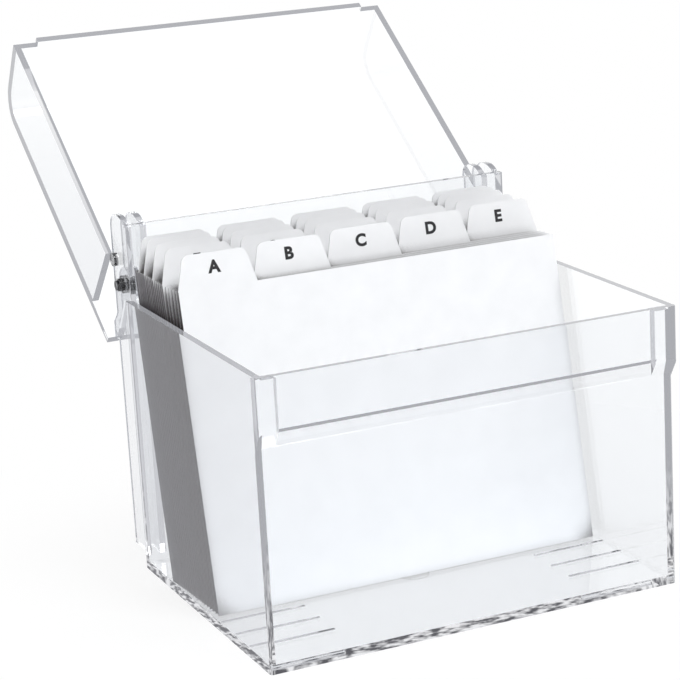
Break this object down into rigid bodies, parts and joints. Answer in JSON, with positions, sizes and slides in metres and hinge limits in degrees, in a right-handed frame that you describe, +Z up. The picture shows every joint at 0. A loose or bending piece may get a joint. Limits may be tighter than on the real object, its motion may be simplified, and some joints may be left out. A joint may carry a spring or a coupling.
{
  "type": "index card box",
  "caption": "Clear moulded box for small index cards, with a hinged lid that leans back when open and loose card guides with tabs.",
  "frame": {"origin": "middle of the flat underside of the box", "axes": "+X right across the front, +Y from the front wall to the hinge, +Z up"},
  "size_m": [0.1134, 0.1776, 0.1332],
  "materials": {
    "clear_plastic": "clear polystyrene, polished",
    "guide_card": "smooth white card stock, matt"
  },
  "bodies": {
    "box": {"box_base": "clear_plastic"},
    "lid": {"lid": "clear_plastic"},
    "guide_a": {"guide_a": "guide_card"},
    "guide_b": {"guide_b": "guide_card"},
    "guide_c": {"guide_c": "guide_card"},
    "guide_d": {"guide_d": "guide_card"},
    "guide_e": {"guide_e": "guide_card"},
    "guide_f": {"guide_f": "guide_card"},
    "guide_g": {"guide_g": "guide_card"},
    "guide_h": {"guide_h": "guide_card"},
    "guide_ij": {"guide_ij": "guide_card"},
    "guide_k": {"guide_k": "guide_card"},
    "guide_l": {"guide_l": "guide_card"},
    "guide_m": {"guide_m": "guide_card"},
    "guide_n": {"guide_n": "guide_card"},
    "guide_o": {"guide_o": "guide_card"},
    "guide_pq": {"guide_pq": "guide_card"},
    "guide_r": {"guide_r": "guide_card"},
    "guide_s": {"guide_s": "guide_card"},
    "guide_sch": {"guide_sch": "guide_card"},
    "guide_st": {"guide_st": "guide_card"},
    "guide_t": {"guide_t": "guide_card"},
    "guide_u": {"guide_u": "guide_card"},
    "guide_v": {"guide_v": "guide_card"},
    "guide_w": {"guide_w": "guide_card"},
    "guide_xy": {"guide_xy": "guide_card"},
    "guide_z": {"guide_z": "guide_card"}
  },
  "joints": [
    {"name": "lid_hinge", "type": "hinge", "parent": "box", "child": "lid", "pos_m": [0, 0.04795, 0.0767], "axis": [-1, 0, 0], "range_deg": [-144.9, 0]},
    {"name": "guide_a_lift", "type": "slide", "parent": "box", "child": "guide_a", "axis": [0, 0.1936, 0.9811], "range_m": [0, 0.085]},
    {"name": "guide_b_lift", "type": "slide", "parent": "box", "child": "guide_b", "axis": [0, 0.1976, 0.9803], "range_m": [0, 0.085]},
    {"name": "guide_c_lift", "type": "slide", "parent": "box", "child": "guide_c", "axis": [0, 0.2017, 0.9795], "range_m": [0, 0.085]},
    {"name": "guide_d_lift", "type": "slide", "parent": "box", "child": "guide_d", "axis": [0, 0.2057, 0.9786], "range_m": [0, 0.085]},
    {"name": "guide_e_lift", "type": "slide", "parent": "box", "child": "guide_e", "axis": [0, 0.2097, 0.9778], "range_m": [0, 0.085]},
    {"name": "guide_f_lift", "type": "slide", "parent": "box", "child": "guide_f", "axis": [0, 0.2137, 0.9769], "range_m": [0, 0.085]},
    {"name": "guide_g_lift", "type": "slide", "parent": "box", "child": "guide_g", "axis": [0, 0.2126, 0.9771], "range_m": [0, 0.085]},
    {"name": "guide_h_lift", "type": "slide", "parent": "box", "child": "guide_h", "axis": [0, 0.2114, 0.9774], "range_m": [0, 0.085]},
    {"name": "guide_ij_lift", "type": "slide", "parent": "box", "child": "guide_ij", "axis": [0, 0.2103, 0.9776], "range_m": [0, 0.085]},
    {"name": "guide_k_lift", "type": "slide", "parent": "box", "child": "guide_k", "axis": [0, 0.2091, 0.9779], "range_m": [0, 0.085]},
    {"name": "guide_l_lift", "type": "slide", "parent": "box", "child": "guide_l", "axis": [0, 0.208, 0.9781], "range_m": [0, 0.085]},
    {"name": "guide_m_lift", "type": "slide", "parent": "box", "child": "guide_m", "axis": [0, 0.2045, 0.9789], "range_m": [0, 0.085]},
    {"name": "guide_n_lift", "type": "slide", "parent": "box", "child": "guide_n", "axis": [0, 0.2011, 0.9796], "range_m": [0, 0.085]},
    {"name": "guide_o_lift", "type": "slide", "parent": "box", "child": "guide_o", "axis": [0, 0.1976, 0.9803], "range_m": [0, 0.085]},
    {"name": "guide_pq_lift", "type": "slide", "parent": "box", "child": "guide_pq", "axis": [0, 0.1941, 0.981], "range_m": [0, 0.085]},
    {"name": "guide_r_lift", "type": "slide", "parent": "box", "child": "guide_r", "axis": [0, 0.1907, 0.9817], "range_m": [0, 0.085]},
    {"name": "guide_s_lift", "type": "slide", "parent": "box", "child": "guide_s", "axis": [0, 0.1895, 0.9819], "range_m": [0, 0.085]},
    {"name": "guide_sch_lift", "type": "slide", "parent": "box", "child": "guide_sch", "axis": [0, 0.1883, 0.9821], "range_m": [0, 0.085]},
    {"name": "guide_st_lift", "type": "slide", "parent": "box", "child": "guide_st", "axis": [0, 0.1872, 0.9823], "range_m": [0, 0.085]},
    {"name": "guide_t_lift", "type": "slide", "parent": "box", "child": "guide_t", "axis": [0, 0.186, 0.9825], "range_m": [0, 0.085]},
    {"name": "guide_u_lift", "type": "slide", "parent": "box", "child": "guide_u", "axis": [0, 0.1848, 0.9828], "range_m": [0, 0.085]},
    {"name": "guide_v_lift", "type": "slide", "parent": "box", "child": "guide_v", "axis": [0, 0.1846, 0.9828], "range_m": [0, 0.085]},
    {"name": "guide_w_lift", "type": "slide", "parent": "box", "child": "guide_w", "axis": [0, 0.1844, 0.9829], "range_m": [0, 0.085]},
    {"name": "guide_xy_lift", "type": "slide", "parent": "box", "child": "guide_xy", "axis": [0, 0.1841, 0.9829], "range_m": [0, 0.085]},
    {"name": "guide_z_lift", "type": "slide", "parent": "box", "child": "guide_z", "axis": [0, 0.1839, 0.9829], "range_m": [0, 0.085]}
  ]
}
